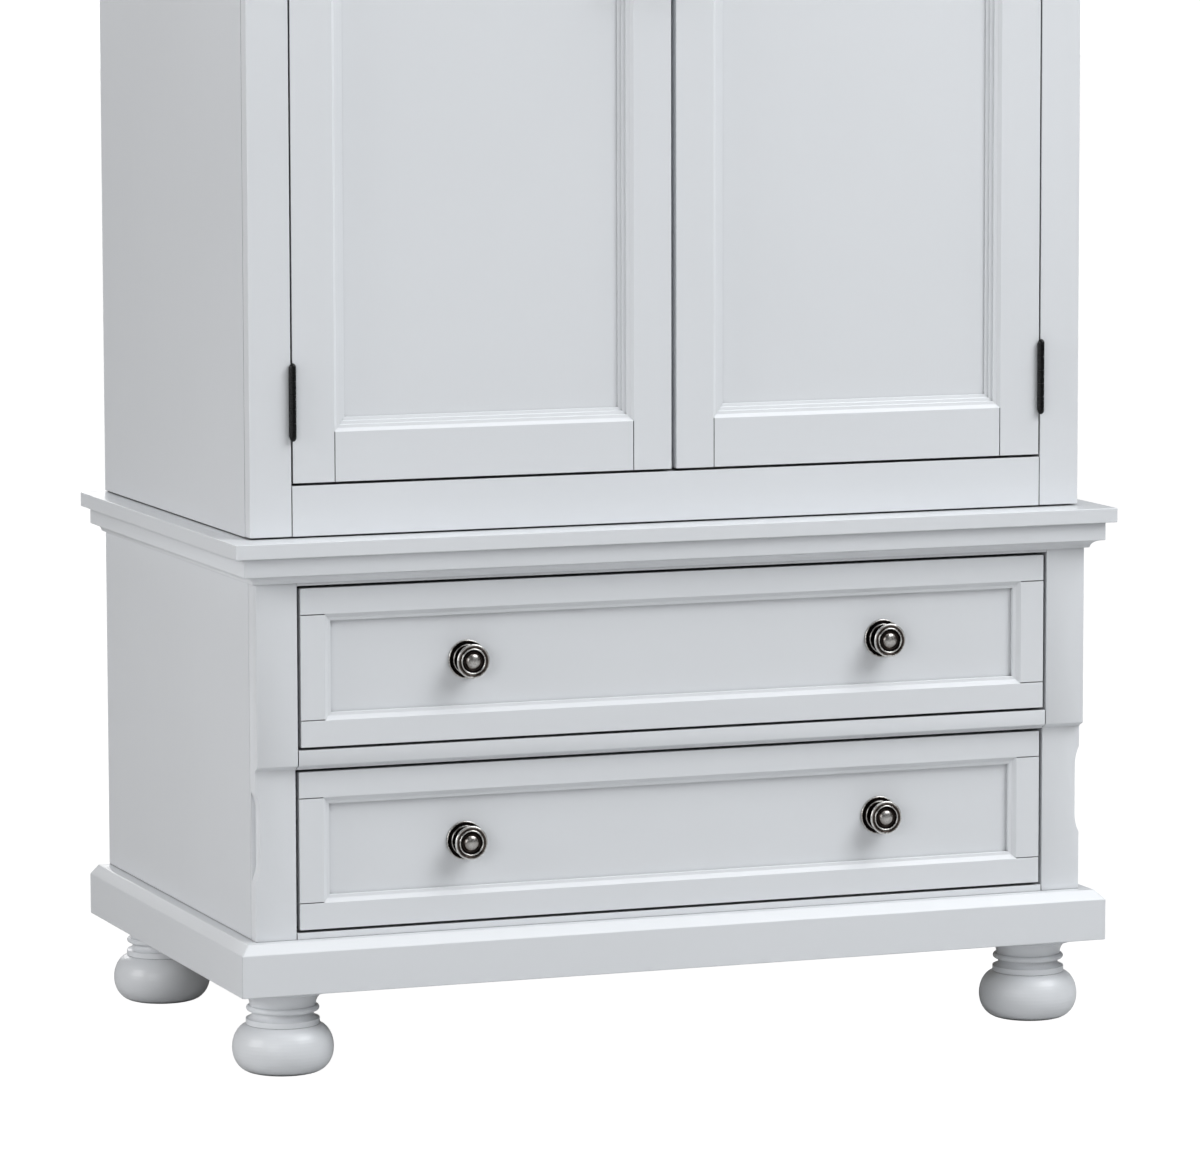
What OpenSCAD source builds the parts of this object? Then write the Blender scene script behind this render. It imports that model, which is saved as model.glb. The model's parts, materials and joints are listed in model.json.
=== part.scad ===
// Two-piece painted armoire: a two-drawer chest on bun feet carries a two-door wardrobe case.
// Millimetres. +Z is up, the front faces -Y, and +X is to the right of someone facing the front.
// The origin is on the floor, under the middle of the overall box.

/* [Chest slab and outline] */
// Width of the slab that tops the chest
slab_w = 1016; // [960:1:1240]
// Depth of the slab, front to back
slab_d = 593; // [480:1:720]
// Thickness of the slab
slab_t = 16; // [12:0.5:25]
// Width of the chest and of the wardrobe case, outside the side panels
body_w = 958; // [780:1:1000]
// Depth from the slab's front edge back to the chest's stile faces
chest_setback = 34; // [30:0.5:60]
// Depth from the slab's front edge back to the wardrobe case's face
case_setback = 43; // [30:0.5:80]
// Thickness of the side panels
side_t = 19; // [12:0.5:25]
// Thickness of every face-frame stile and rail
frame_t = 18; // [14:0.5:25]
// Thickness of the plywood backs
back_t = 6; // [4:0.5:12]

/* [Feet] */
// Height of the turned bun feet
foot_h = 92.5; // [80:0.5:130]
// Largest radius of the bun
bun_r = 54.6; // [45:0.1:62]
// Height at which the bun is widest
bun_z = 26; // [20:0.5:32]
// Height of the top of the bun
bun_top_z = 55; // [48:0.5:60]
// Radius of the flat that touches the floor
foot_contact_r = 33; // [25:0.5:40]
// Radius of the bun where it meets its shoulder ring
shoulder_r = 39.6; // [34:0.1:44]
// Radius of the waist above the shoulder ring
waist_r = 32.4; // [26:0.1:34]
// Radius of the foot's top disc
foot_top_r = 50.5; // [44:0.1:58]
// Distance from the plinth's outer faces to the middle of a foot
foot_inset = 65; // [60:0.5:90]
// Radius of the bolt that holds each foot
foot_bolt_r = 5; // [4:0.5:8]
// Length of the foot bolt
foot_bolt_l = 90; // [60:1:100]
// Length of the foot bolt inside the foot
foot_bolt_embed = 50; // [30:1:60]
// Height of the ring at the top of the bun
shoulder_h = 3; // [2:0.5:5]
// Height of the waist over the top of the bun
waist_h = 11; // [8:0.5:13]
// Radius of the bead over the waist
bead_r = 39.3; // [35:0.1:44]
// Height of that bead
bead_h = 6; // [4:0.5:8]
// Radius of the flared top where it leaves the bead
flare_r = 35.5; // [30:0.1:38]
// Height of the disc at the top of the foot
top_disc_h = 5; // [3:0.5:8]

/* [Plinth] */
// How far the plinth stands out past the chest's faces
plinth_proj = 23; // [16:0.5:28]
// Height of the plinth's upright face
plinth_face_h = 45.5; // [35:0.5:80]
// Width and height of the plinth's bevel
plinth_bevel = 10; // [4:0.5:14]
// Front-to-back thickness of the plinth boards
plinth_t = 46; // [45:0.5:52]
// Side of the square block that each foot is bolted to
foot_block_w = 84; // [80:1:100]

/* [Chest front] */
// Width of the corner stiles
pilaster_w = 45; // [36:0.5:60]
// Thickness of the moulded block laid over the top of each corner stile
block_t = 9; // [5:0.5:14]
// Height of the thin rail under the lower drawer
chest_bottom_rail_h = 7; // [5:0.5:20]
// Height of the moulded rail between the drawers
mid_rail_h = 21.5; // [18:0.5:40]
// Height of the ogee on the mid rail and on the blocks
ogee_h = 6; // [4:0.5:10]
// Shadow gap between the mid rail's moulding and the corner blocks
mid_rail_gap = 1.2; // [0.5:0.1:3]
// Height of the top rail that shows under the cove
top_rail_reveal = 3.5; // [2:0.5:20]
// Thickness of the chest's bottom panel
chest_floor_t = 9; // [6:0.5:9.5]
// Length of the scallop cut in each corner stile's outer edge
scallop_l = 96; // [60:1:130]
// Depth of that scallop
scallop_depth = 5; // [2:0.5:8]
// Length over which the scallop curves in at each end
scallop_run = 21; // [12:1:28]
// Height of the scallop's lower end above the plinth
scallop_z = 64; // [40:1:80]
// Thickness of the part of the stile that the scallop cuts into, from its face
scallop_t = 14; // [8:0.5:18]

/* [Chest moulding] */
// How far the moulding under the slab stands out
moulding_proj = 18; // [14:0.5:22]
// Height of its flat fascia
fascia_h = 20; // [12:0.5:35]
// Height of its cove
cove_h = 9; // [6:0.5:16]
// Horizontal run of its cove
cove_run = 13; // [8:0.5:16]

/* [Drawers] */
// Height of each drawer front
drawer_front_h = 169.5; // [140:0.5:230]
// Thickness of each drawer front
drawer_front_t = 20; // [18:0.5:25]
// Gap over and under each drawer front
drawer_gap = 3; // [2:0.5:5]
// Gap at each side of a drawer front
drawer_side_gap = 4; // [2:0.5:6]
// Height of a drawer front's rails, up to its sticking
drawer_rail_h = 28; // [22:0.5:45]
// Width of a drawer front's stiles, up to its sticking
drawer_stile_w = 27; // [20:0.5:50]
// Clear space behind the lower drawer's box
drawer_back_gap = 63; // [20:1:150]
// Height of each drawer box
drawer_box_h = 120; // [90:1:125]
// Height of the box's lower edge above the lower edge of its front
drawer_box_lift = 14; // [8:0.5:18]
// Thickness of the box's boards
drawer_board_t = 12; // [9:0.5:16]
// Thickness of a drawer's bottom panel
drawer_floor_t = 6; // [4:0.5:9]
// Height of the bottom panel above the box's lower edge
drawer_floor_lift = 10; // [6:0.5:14]
// How much shorter a slide is than its drawer box
slide_margin = 20; // [5:1:60]
// Thickness of a slide, from drawer to cabinet
slide_t = 12.7; // [10:0.1:16]
// Height of a slide
slide_h = 45; // [35:0.5:46]

/* [Doors] */
// Height of each door
door_h = 1168; // [900:1:1300]
// Thickness of each door
door_t = 22; // [20:0.5:26]
// Height of the wardrobe case's bottom rail
case_bottom_rail_h = 55.5; // [40:0.5:90]
// Width of the wardrobe case's stiles
case_stile_w = 46; // [38:0.5:70]
// Height of the shadow gap under the wardrobe's face frame
foot_shadow = 1.8; // [1:0.1:4]
// Gap over and under the doors
door_gap = 3; // [2:0.5:5]
// Gap between a door and its stile, where the hinges are
hinge_gap = 2; // [1.5:0.1:3]
// Gap between the two doors
meeting_gap = 6; // [3:0.5:8]
// Width of a door's stile on the hinge side, up to its sticking
door_stile_w = 46; // [38:0.5:80]
// Width of the stile where the doors meet, up to its sticking
meeting_stile_w = 43; // [38:0.5:80]
// Height of a door's rails, up to its sticking
door_rail_h = 53; // [40:0.5:100]

/* [Sticking and joints] */
// Width and depth of the bevel along a door frame's inner edge
door_bevel = 3.5; // [2:0.1:5]
// Number of steps in a door frame's sticking
door_steps = 3; // [1:1:3]
// Width of each step
door_step_run = 3.7; // [2:0.1:5]
// Drop of each step
door_step_drop = 2.2; // [1:0.1:2.4]
// Width and depth of the bevel along a drawer frame's inner edge
drawer_bevel = 4.2; // [2:0.1:5]
// Width of the step in a drawer frame's sticking
drawer_step_run = 3.6; // [2:0.1:5]
// Drop of that step
drawer_step_drop = 5.2; // [2:0.1:6]
// How far each step falls across its own width
step_fall = 0.8; // [0:0.1:1.2]
// Thickness of the flat panels
panel_t = 6; // [4:0.5:7]
// Depth of the groove that holds a flat panel
groove_depth = 8; // [5:0.5:12]
// Width of the shadow line where a rail meets a stile
shadow_w = 1; // [0.3:0.1:1.5]
// Width of the shadow line where a side panel meets a stile
side_shadow_w = 2; // [0.3:0.1:3]
// Height of the shadow line under the wardrobe's side panels
side_foot_shadow = 1; // [0.3:0.1:2]
// Depth of the shadow lines
shadow_d = 3.5; // [1:0.1:4]

/* [Hinges] */
// Radius of the hinge barrels
barrel_r = 3.6; // [3:0.1:6]
// Length of the hinge barrels
barrel_l = 74; // [60:1:90]
// Height of the rounded tip at each end of a pin
tip_h = 4.5; // [3:0.5:6]
// Radius of the hinge pins
pin_r = 2; // [1.5:0.1:2.5]
// Clearance of a pin in its knuckles
pin_clearance = 0.05; // [0.02:0.01:0.09]
// Clearance between knuckles, along the pin
knuckle_gap = 0.4; // [0.3:0.1:1]
// Thickness of the hinge leaves
leaf_t = 1.6; // [1:0.1:2.5]
// Width of the hinge leaves
leaf_w = 16; // [12:0.5:17]
// Distance from a door's end to the middle of its nearest hinge
hinge_inset = 86; // [60:1:150]
// Clearance between a barrel and the wood behind it
barrel_clearance = 0.4; // [0.3:0.1:1]

/* [Knobs] */
// Radius of the rose plate behind each knob
rose_r = 21; // [18:0.5:26]
// Radius of the raised middle of the rose plate
rose_step_r = 16.5; // [12:0.5:17]
// Thickness of the rose plate
rose_t = 5; // [3:0.5:7]
// Radius of the knob's head
knob_r = 18.4; // [14:0.1:22]
// Distance from the mounting face to the rim of the head
knob_rim_z = 24; // [20:0.5:30]
// Thickness of the head's rim
knob_rim_t = 3; // [2:0.1:4]
// Radius of the stem
knob_stem_r = 6.5; // [5:0.5:9]
// Radius of the stem where it widens into the rose and into the head
knob_flare_r = 9; // [7:0.5:12]
// Depth of the rounded back of the head, behind its rim
knob_back_h = 4; // [2:0.5:6]
// Width of the rounded rim
knob_rim_w = 2.4; // [1:0.1:3]
// Radius of the raised ring on the head's face
knob_ring_r = 13.1; // [11:0.1:15]
// Width of that ring
knob_ring_w = 1.3; // [0.8:0.1:2]
// Depth of the groove outside the ring
knob_groove_d = 1.8; // [0.5:0.1:2.5]
// Depth of the recess inside the ring
knob_recess_d = 2.4; // [0.5:0.1:3]
// Radius of the dome in the middle of the head
knob_dome_r = 8.4; // [6:0.1:10]
// Height of that dome over the floor of its recess
knob_dome_h = 3.6; // [2:0.1:5]
// Radius of the screw that holds each knob
knob_screw_r = 2; // [1.5:0.1:3]
// Distance from the middle of a drawer to its knobs
drawer_knob_x = 241; // [150:1:300]
// Height of the door knobs over the doors' lower edges
door_knob_z = 560; // [520:1:700]

/* [Wardrobe case] */
// Thickness of the case's top, bottom and shelf
board_t = 19; // [15:0.5:25]
// Height of the case's top rail that shows under the crown
case_top_rail_reveal = 57; // [40:0.5:120]
// How far the crown moulding stands out
crown_proj = 21; // [16:0.5:26]
// Height of the crown's flat fascia
crown_fascia_h = 26; // [16:0.5:50]
// Height of the crown's cove
crown_cove_h = 24; // [12:0.5:40]
// Horizontal run of the crown's cove
crown_cove_run = 17; // [10:0.5:20]
// How far the cornice board stands out past the crown
cornice_overhang = 8; // [4:0.5:12]
// Thickness of the cornice board
cornice_t = 16; // [12:0.5:25]
// Height of the clear space over the wardrobe shelf
shelf_space = 310; // [200:1:450]
// Depth of the grooves that hold the shelf
shelf_housing = 6; // [4:0.5:9]
// Gap between the closed doors and the shelf's front edge
shelf_front_gap = 8; // [4:0.5:40]
// Radius of the hanging rod
rod_r = 12.5; // [10:0.5:16]
// Wall of the hanging rod
rod_wall = 1.5; // [1:0.1:3]
// Distance from the underside of the shelf to the middle of the rod
rod_drop = 55; // [40:1:90]
// Length of each rod socket
socket_l = 14; // [10:0.5:20]
// Wall of each rod socket
socket_wall = 3; // [2:0.5:5]
// Width of the flange round each rod socket
socket_flange = 9; // [6:0.5:14]
// Distance from the middle of the case to each door catch
catch_x = 60; // [40:1:120]
// Width of a door catch
catch_w = 46; // [30:1:60]
// Height and depth of a door catch
catch_s = 15; // [10:0.5:20]

/* [Hidden] */

$fn = 64;
ARC_STEPS = 10;

WHITE = [0.93, 0.93, 0.92];
INSIDE = [0.86, 0.84, 0.80];
BARE_WOOD = [0.78, 0.66, 0.48];
NICKEL = [0.55, 0.53, 0.50];
BLACK = [0.08, 0.08, 0.08];
STEEL = [0.70, 0.71, 0.72];

// Running gap between a slide's two members
SLIDE_CLEARANCE = 0.6;
// Wall of a slide's steel channels
SLIDE_WALL = 1.4;
// Clearance between a slide and the edge of the drawer opening
SLIDE_SIDE_CLEARANCE = 0.4;
// Hairline between pieces that share a node
HAIRLINE = 0.1;
// Clearance around bolts, screws and rods
BOLT_CLEARANCE = 0.2;
// Gap between a door catch and the closed door
CATCH_GAP = 0.5;
// Room that a panel has in its grooves
PANEL_PLAY = 1;
// Excess that lets a cutter pass right through
CUT = 1;

// Heights, from the floor up
plinth_z = foot_h;
deck_z = plinth_z + plinth_face_h + plinth_bevel;
lower_drawer_z = deck_z + chest_bottom_rail_h + drawer_gap;
mid_rail_z = lower_drawer_z + drawer_front_h + drawer_gap;
upper_drawer_z = mid_rail_z + mid_rail_h + drawer_gap;
top_rail_z = upper_drawer_z + drawer_front_h + drawer_gap;
moulding_z = top_rail_z + top_rail_reveal;
slab_z = moulding_z + cove_h + fascia_h;
case_z = slab_z + slab_t;
case_opening_z = case_z + case_bottom_rail_h;
door_z = case_opening_z + door_gap;
case_opening_top = door_z + door_h + door_gap;
crown_z = case_opening_top + case_top_rail_reveal;
case_top_z = crown_z + crown_cove_h + crown_fascia_h;
shelf_z = case_top_z - 2 * board_t - shelf_space;
rod_z = shelf_z - rod_drop;

// Half widths
body_x = body_w / 2;
inner_x = body_x - side_t;
chest_opening_x = body_x - pilaster_w;
case_opening_x = body_x - case_stile_w;
drawer_front_x = chest_opening_x - drawer_side_gap;
drawer_box_x = chest_opening_x - SLIDE_SIDE_CLEARANCE - slide_t;
packer_x = drawer_box_x + slide_t;
door_outer_x = case_opening_x - hinge_gap;
door_inner_x = meeting_gap / 2;
hinge_x = case_opening_x - hinge_gap / 2;

// Places along Y, from the front back
front_y = -slab_d / 2;
back_y = slab_d / 2;
chest_y = front_y + chest_setback;
block_y = chest_y - block_t;
chest_side_y = chest_y + frame_t;
case_y = front_y + case_setback;
case_side_y = case_y + frame_t;
hinge_y = case_y - barrel_r - barrel_clearance;
inner_back_y = back_y - back_t;
rod_y = (case_side_y + inner_back_y) / 2;
door_back_y = case_y + door_t;

// Sizes that follow from the sticking
door_sticking_w = door_bevel + door_steps * door_step_run;
door_recess = door_bevel + door_steps * (door_step_drop + step_fall);
drawer_sticking_w = drawer_bevel + drawer_step_run;
drawer_recess = drawer_bevel + drawer_step_drop + step_fall;

// Feet and plinth
waist_z = bun_top_z + waist_h;
flare_z = waist_z + bead_h;
flare_h = foot_h - top_disc_h - flare_z;
foot_x = body_x + plinth_proj - foot_inset;
foot_front_y = chest_y - plinth_proj + foot_inset;
foot_rear_y = back_y - foot_inset;
plinth_depth = plinth_t - plinth_proj;
plinth_h = plinth_face_h + plinth_bevel;

// Drawer slides and doors
slide_y = chest_y + drawer_front_t;
slide_lift = drawer_box_lift + drawer_box_h / 2;
drawer_box_d = inner_back_y - drawer_back_gap - slide_y;
slide_l = drawer_box_d - slide_margin;
SLIDE_ZS = [lower_drawer_z + slide_lift, upper_drawer_z + slide_lift];
shelf_y = door_back_y + shelf_front_gap;

// Hinges
HINGE_ZS = [door_z + hinge_inset, door_z + door_h / 2, door_z + door_h - hinge_inset];
KNUCKLES = 5;
FRAME_KNUCKLES = [0, 2, 4];
DOOR_KNUCKLES = [1, 3];
knuckle_pitch = barrel_l / KNUCKLES;

// A box between two opposite corners
module block(low, high) {
    translate(low) cube(high - low);
}

module both_sides() {
    children();
    mirror([1, 0, 0]) children();
}

// An outline drawn as [distance out from a vertical face, height], run along X with out towards -Y
module run_along_x(x0, x1) {
    translate([x0, 0, 0]) rotate([90, 0, 90]) linear_extrude(x1 - x0) mirror([1, 0]) children();
}

// The same outline, run along Y with out towards +X
module run_along_y(y0, y1) {
    translate([0, y1, 0]) rotate([90, 0, 0]) linear_extrude(y1 - y0) children();
}

// Cove under a flat fascia: flat underside, hollow quarter curve, upright face
function cove_outline(proj, run, cove, fascia) = concat(
    [[0, 0]],
    [for (i = [0 : ARC_STEPS]) let (a = 90 * i / ARC_STEPS) [proj - run * cos(a), cove * sin(a)]],
    [[proj, cove + fascia], [0, cove + fascia]]
);

// Upright face with a bevel along its top
function plinth_outline() = [
    [plinth_proj - plinth_t, 0],
    [plinth_proj, 0],
    [plinth_proj, plinth_face_h],
    [plinth_proj - plinth_bevel, plinth_face_h + plinth_bevel],
    [plinth_proj - plinth_t, plinth_face_h + plinth_bevel],
];

// Plan of a front piece mitred at both ends. Its inner edge lies on the line of the faces.
module mitred_front_plan(proj, depth) {
    polygon([
        [-body_x - proj, -proj], [body_x + proj, -proj],
        [body_x - depth, depth], [depth - body_x, depth],
    ]);
}

// Plan of a right-hand side piece, mitred at its front end, with a gap at the mitre
module mitred_side_plan(proj, depth, length, gap) {
    polygon([
        [body_x - depth, depth + gap], [body_x + proj, gap - proj],
        [body_x + proj, length], [body_x - depth, length],
    ]);
}

// Moulding run across the front and back along both sides of the body
module wrapped_moulding(face_y, z, proj, outline, end_y) {
    height = max([for (p = outline) p[1]]);
    translate([0, face_y, z]) {
        intersection() {
            run_along_x(-body_x - proj, body_x + proj) polygon(outline);
            linear_extrude(height) mitred_front_plan(proj, 0);
        }
        both_sides() intersection() {
            translate([body_x, 0, 0]) run_along_y(-proj, end_y - face_y) polygon(outline);
            linear_extrude(height) mitred_side_plan(proj, 0, end_y - face_y, HAIRLINE);
        }
    }
}

// ---- Feet and plinth ----

// Quarter curve from [r0, z0] to [r1, z1], bulging outwards
function bulge(r0, z0, r1, z1) = [
    for (i = [0 : ARC_STEPS]) let (a = 90 * i / ARC_STEPS)
        r1 > r0 ? [r0 + (r1 - r0) * sin(a), z1 + (z0 - z1) * cos(a)]
                : [r1 + (r0 - r1) * cos(a), z0 + (z1 - z0) * sin(a)]
];

foot_outline = concat(
    [[0, 0], [foot_contact_r, 0]],
    bulge(foot_contact_r, 0, bun_r, bun_z),
    bulge(bun_r, bun_z, shoulder_r - shoulder_h, bun_top_z - shoulder_h),
    [[shoulder_r, bun_top_z - shoulder_h], [shoulder_r, bun_top_z]],
    [for (i = [0 : ARC_STEPS]) let (a = 90 * i / ARC_STEPS)
        [shoulder_r - (shoulder_r - waist_r) * sin(a), waist_z - (waist_h - shoulder_h) * cos(a)]],
    [for (i = [0 : ARC_STEPS]) let (a = 180 * i / ARC_STEPS - 90)
        [bead_r + bead_h / 2 * (cos(a) - 1), waist_z + bead_h / 2 * (1 + sin(a))]],
    [for (i = [0 : ARC_STEPS]) let (a = 90 * i / ARC_STEPS)
        [foot_top_r - (foot_top_r - flare_r) * cos(a), flare_z + flare_h * sin(a)]],
    [[foot_top_r, foot_h], [0, foot_h]]
);

module at_each_foot() {
    for (x = [-foot_x, foot_x]) {
        for (y = [foot_front_y, foot_rear_y]) {
            translate([x, y, 0]) children();
        }
    }
}

module foot_bolt_shape(clearance) {
    translate([0, 0, foot_h - foot_bolt_embed]) cylinder(r = foot_bolt_r + clearance, h = foot_bolt_l);
}

module bun_feet() {
    color(WHITE) at_each_foot() difference() {
        rotate_extrude() polygon(foot_outline);
        foot_bolt_shape(BOLT_CLEARANCE);
    }
}

module foot_bolts() {
    color(STEEL) at_each_foot() foot_bolt_shape(0);
}

module foot_blocks() {
    outer_x = body_x - plinth_depth;
    color(BARE_WOOD) difference() {
        both_sides() {
            block([outer_x - foot_block_w, chest_y + plinth_depth, plinth_z],
                  [outer_x, chest_y + plinth_depth + foot_block_w, deck_z]);
            block([outer_x - foot_block_w, back_y - side_t - foot_block_w, plinth_z],
                  [outer_x, back_y - side_t, deck_z]);
        }
        at_each_foot() foot_bolt_shape(BOLT_CLEARANCE);
    }
}

module plinth_front() {
    color(WHITE) translate([0, chest_y, plinth_z]) intersection() {
        run_along_x(-body_x - plinth_proj, body_x + plinth_proj) polygon(plinth_outline());
        linear_extrude(plinth_h) mitred_front_plan(plinth_proj, plinth_depth);
    }
}

module plinth_sides() {
    length = back_y - chest_y;
    color(WHITE) translate([0, chest_y, plinth_z]) both_sides() intersection() {
        translate([body_x, 0, 0]) run_along_y(-plinth_proj, length) polygon(plinth_outline());
        linear_extrude(plinth_h) mitred_side_plan(plinth_proj, plinth_depth, length, 0);
    }
}

module plinth_back() {
    half = body_x - plinth_depth;
    color(WHITE) block([-half, back_y - side_t, plinth_z], [half, back_y, deck_z]);
}

// ---- Chest ----

// Narrow cut that leaves a shadow line up the front edge of a side panel
module side_shadow_line(front, low, high) {
    block([body_x - shadow_d, front - CUT, low - CUT], [body_x + CUT, front + side_shadow_w, high + CUT]);
}

module chest_side() {
    color(WHITE) difference() {
        block([inner_x, chest_side_y, deck_z], [body_x, back_y, slab_z]);
        side_shadow_line(chest_side_y, deck_z, slab_z);
    }
}

module chest_side_left() {
    mirror([1, 0, 0]) chest_side();
}

module chest_side_right() {
    chest_side();
}

module chest_back() {
    color(INSIDE) block([-inner_x, inner_back_y, deck_z], [inner_x, back_y, slab_z]);
}

module chest_bottom() {
    color(INSIDE) block([-inner_x, chest_side_y, deck_z],
                        [inner_x, inner_back_y, deck_z + chest_floor_t]);
}

// Outline of the scallop, as [distance in from the edge, height]. Each end is an arc that runs
// into the straight middle.
scallop_arc_r = (scallop_run * scallop_run + scallop_depth * scallop_depth) / (2 * scallop_depth);
function scallop_in(s) = scallop_depth - scallop_arc_r + sqrt(scallop_arc_r * scallop_arc_r - s * s);
scallop_outline = concat(
    [[-CUT, 0]],
    [for (i = [0 : ARC_STEPS]) let (z = scallop_run * i / ARC_STEPS) [scallop_in(scallop_run - z), z]],
    [for (i = [0 : ARC_STEPS]) let (s = scallop_run * i / ARC_STEPS)
        [scallop_in(s), scallop_l - scallop_run + s]],
    [[-CUT, scallop_l]]
);

module pilaster() {
    color(WHITE) difference() {
        block([chest_opening_x, chest_y, deck_z], [body_x, chest_side_y, slab_z]);
        translate([body_x, chest_y + scallop_t, deck_z + scallop_z])
            rotate([90, 0, 0])
            linear_extrude(scallop_t + CUT) mirror([1, 0]) polygon(scallop_outline);
    }
}

module pilaster_left() {
    mirror([1, 0, 0]) pilaster();
}

module pilaster_right() {
    pilaster();
}

// A face that stands block_t out from the stiles, with an ogee along its lower edge
function ogee_outline(height) = concat(
    [for (i = [0 : ARC_STEPS]) let (t = i / ARC_STEPS) [block_t * (1 - cos(180 * t)) / 2, ogee_h * t]],
    [[block_t, height], [0, height]]
);

module pilaster_blocks() {
    color(WHITE) both_sides() translate([0, chest_y, mid_rail_z])
        run_along_x(chest_opening_x, body_x) polygon(ogee_outline(slab_z - mid_rail_z));
}

module chest_top_rail() {
    color(WHITE) block([-chest_opening_x, block_y, top_rail_z],
                       [chest_opening_x, chest_side_y, slab_z]);
}

module chest_mid_rail() {
    front_x = chest_opening_x - mid_rail_gap;
    color(WHITE) {
        block([-chest_opening_x, chest_y, mid_rail_z],
              [chest_opening_x, chest_side_y, mid_rail_z + mid_rail_h]);
        translate([0, chest_y, mid_rail_z])
            run_along_x(-front_x, front_x) polygon(ogee_outline(mid_rail_h));
    }
}

module chest_bottom_rail() {
    color(WHITE) difference() {
        block([-chest_opening_x, chest_y, deck_z],
              [chest_opening_x, chest_side_y, deck_z + chest_bottom_rail_h]);
        end_shadow_lines(chest_opening_x, chest_y, deck_z, chest_bottom_rail_h);
    }
}

// Narrow cuts that leave a shadow line at both ends of a rail
module end_shadow_lines(half, face_y, z, height) {
    both_sides() block([half - shadow_w, face_y - CUT, z - CUT],
                       [half + CUT, face_y + shadow_d, z + height + CUT]);
}

module chest_moulding() {
    outline = cove_outline(moulding_proj, cove_run, cove_h, fascia_h);
    color(WHITE) wrapped_moulding(block_y, moulding_z, moulding_proj, outline, back_y);
}

module chest_top() {
    color(WHITE) block([-slab_w / 2, front_y, slab_z], [slab_w / 2, back_y, case_z]);
}

// ---- Drawer slides ----

module slide_packers() {
    color(BARE_WOOD) both_sides() for (z = SLIDE_ZS) {
        block([packer_x, chest_side_y, z - slide_h / 2], [inner_x, slide_y + slide_l, z + slide_h / 2]);
    }
}

// A steel channel lying along Y: its web stands at x = 0 and its mouth faces +X
module channel(width, height, length) {
    difference() {
        block([0, 0, -height / 2], [width, length, height / 2]);
        block([SLIDE_WALL, -CUT, SLIDE_WALL - height / 2],
              [width + CUT, length + CUT, height / 2 - SLIDE_WALL]);
    }
}

module slide_cabinet_members() {
    color(STEEL) both_sides() for (z = SLIDE_ZS) {
        translate([packer_x, slide_y, z]) mirror([1, 0, 0])
            channel(slide_t - SLIDE_CLEARANCE, slide_h, slide_l);
    }
}

module drawer_slide_members(z) {
    margin = SLIDE_WALL + SLIDE_CLEARANCE;
    color(STEEL) both_sides() translate([drawer_box_x, slide_y, z + slide_lift])
        channel(slide_t - margin, slide_h - 2 * margin, slide_l);
}

// ---- Framed fronts ----

// Cross-section of a frame member as [distance across, depth]: a flat face, the sticking along
// its inner edge, and a groove for the panel
function member_outline(width, thick, bevel, run, fall, drop, steps) =
    let (edge = width + bevel + steps * run, recess = bevel + steps * (fall + drop))
    concat(
        [[0, 0], [width, 0], [width + bevel, bevel]],
        [for (i = [1 : steps], low = [0, 1])
            [width + bevel + run * i, bevel + fall * i + drop * (i - 1 + low)]],
        [[edge - groove_depth, recess], [edge - groove_depth, recess + panel_t],
         [edge, recess + panel_t], [edge, thick], [0, thick]]
    );

// A member that runs up along Z, with its outer edge on x = 0
module upright_member(outline, length) {
    linear_extrude(length) polygon(outline);
}

// A member that runs along X from x0 to x1, with its outer edge on z = 0
module level_member(outline, x0, x1) {
    translate([x0, 0, 0]) rotate([90, 0, 90]) linear_extrude(x1 - x0)
        polygon([for (p = outline) [p[1], p[0]]]);
}

// ---- Drawers ----

function drawer_member(width) =
    member_outline(width, drawer_front_t, drawer_bevel, drawer_step_run, step_fall, drawer_step_drop, 1);

module drawer_rail_pair(z, face_y) {
    for (flip = [0, 1]) {
        translate([0, face_y, z + flip * drawer_front_h]) mirror([0, 0, flip])
            level_member(drawer_member(drawer_rail_h), -drawer_front_x, drawer_front_x);
    }
}

// Shadow lines where a drawer front's stiles meet its rails, along the flat face only
module drawer_shadow_lines(z, face_y) {
    both_sides() for (low = [z + drawer_rail_h, z + drawer_front_h - drawer_rail_h - shadow_w]) {
        block([drawer_front_x - drawer_stile_w, face_y - CUT, low],
              [drawer_front_x + CUT, face_y + shadow_d, low + shadow_w]);
    }
}

module drawer_rails(z, face_y) {
    color(WHITE) difference() {
        drawer_rail_pair(z, face_y);
        drawer_shadow_lines(z, face_y);
    }
}

module drawer_stiles(z, face_y) {
    color(WHITE) difference() {
        both_sides() translate([drawer_front_x, face_y, z + drawer_rail_h]) mirror([1, 0, 0])
            upright_member(drawer_member(drawer_stile_w), drawer_front_h - 2 * drawer_rail_h);
        drawer_rail_pair(z, face_y);
        drawer_shadow_lines(z, face_y);
    }
}

module drawer_panel(z, face_y) {
    x = drawer_front_x - drawer_stile_w - drawer_sticking_w + groove_depth - PANEL_PLAY;
    margin = drawer_rail_h + drawer_sticking_w - groove_depth + PANEL_PLAY;
    y = face_y + drawer_recess;
    color(WHITE) difference() {
        block([-x, y, z + margin], [x, y + panel_t, z + drawer_front_h - margin]);
        drawer_screw_holes(z, face_y);
    }
}

module drawer_bottom(z, face_y) {
    y = face_y + drawer_front_t;
    x = drawer_box_x - drawer_board_t / 2;
    low = z + drawer_box_lift + drawer_floor_lift;
    color(INSIDE) block([-x, y + drawer_board_t / 2, low],
                        [x, y + drawer_box_d - drawer_board_t / 2, low + drawer_floor_t]);
}

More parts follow.
